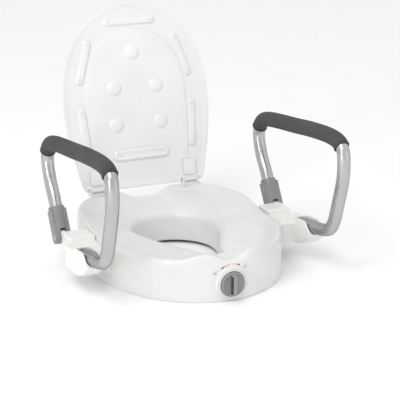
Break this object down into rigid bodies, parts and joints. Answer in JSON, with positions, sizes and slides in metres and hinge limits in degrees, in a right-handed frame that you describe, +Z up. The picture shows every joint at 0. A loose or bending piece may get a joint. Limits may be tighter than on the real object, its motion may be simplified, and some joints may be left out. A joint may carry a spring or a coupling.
{
  "type": "raised toilet seat",
  "caption": "Raised toilet seat ring with a hinged lid, flip-up padded tube arms and a knob-driven clamp that grips the bowl rim.",
  "frame": {"origin": "middle of the width and of the length with the lid open, on the plane of the skirt's lower edge", "axes": "+X to the right as seen from the front, +Y to the rear where the lid is hinged, +Z up; the knob faces -Y"},
  "size_m": [0.537, 0.5796, 0.5115],
  "materials": {
    "white_plastic": "moulded, soft gloss",
    "lid_plastic": "moulded, soft gloss",
    "anodised_aluminium": "satin anodised",
    "dark_foam": "closed-cell foam skin",
    "grey_plastic": "fine moulded grain",
    "knob_plastic": "fine moulded grain",
    "steel": "plain",
    "black_plastic": "plain",
    "rubber": "soft pad"
  },
  "bodies": {
    "seat": {"seat_shell": "white_plastic", "rim_pad_rear_L": "rubber", "rim_pad_rear_R": "rubber", "rim_pad_front_L": "rubber", "rim_pad_front_R": "rubber", "knob_bezel": "white_plastic", "clamp_guide": "grey_plastic", "hinge_block_L": "white_plastic", "hinge_block_R": "white_plastic", "hinge_pin_L": "steel", "hinge_pin_R": "steel", "arm_bracket_L": "white_plastic", "arm_bracket_R": "white_plastic", "bracket_screw_front_L": "steel", "bracket_screw_front_R": "steel", "bracket_screw_rear_L": "steel", "bracket_screw_rear_R": "steel", "pivot_pin_L": "steel", "pivot_pin_R": "steel"},
    "lid_leaf": {"lid": "lid_plastic", "hinge_leaf_L": "white_plastic", "hinge_leaf_R": "white_plastic", "leaf_screw_low_L": "steel", "leaf_screw_low_R": "steel", "leaf_screw_high_L": "steel", "leaf_screw_high_R": "steel"},
    "arm_left": {"arm_tube_L": "anodised_aluminium", "arm_grip_L": "dark_foam", "arm_sleeve_L": "grey_plastic", "sleeve_rivet_L": "steel", "tube_cap_L": "black_plastic"},
    "arm_right": {"arm_tube_R": "anodised_aluminium", "arm_grip_R": "dark_foam", "arm_sleeve_R": "grey_plastic", "sleeve_rivet_R": "steel", "tube_cap_R": "black_plastic"},
    "knob_turn": {"knob": "knob_plastic", "spindle": "steel", "spindle_collar": "black_plastic"},
    "jaw_slide": {"clamp_jaw": "grey_plastic", "jaw_nut": "steel", "jaw_pad": "rubber"}
  },
  "joints": [
    {"name": "lid_hinge", "type": "hinge", "parent": "seat", "child": "lid_leaf", "pos_m": [0, 0.1932, 0.116], "axis": [1, 0, 0], "range_deg": [0, 103]},
    {"name": "arm_left_pivot", "type": "hinge", "parent": "seat", "child": "arm_left", "pos_m": [-0.25, 0.0382, 0.073], "axis": [-1, 0, 0], "range_deg": [0, 90]},
    {"name": "arm_right_pivot", "type": "hinge", "parent": "seat", "child": "arm_right", "pos_m": [0.25, 0.0382, 0.073], "axis": [-1, 0, 0], "range_deg": [0, 90]},
    {"name": "knob_spin", "type": "hinge", "parent": "seat", "child": "knob_turn", "pos_m": [0, -0.2758, 0.037], "axis": [0, 1, 0], "range_deg": [-45, 45]},
    {"name": "jaw_travel", "type": "slide", "parent": "seat", "child": "jaw_slide", "axis": [0, -1, 0], "range_m": [-0.00401, 0.00401]}
  ],
  "couplings": [
    {"joint": "jaw_travel", "follows": "knob_spin", "m_per_rad": 0.005093}
  ]
}
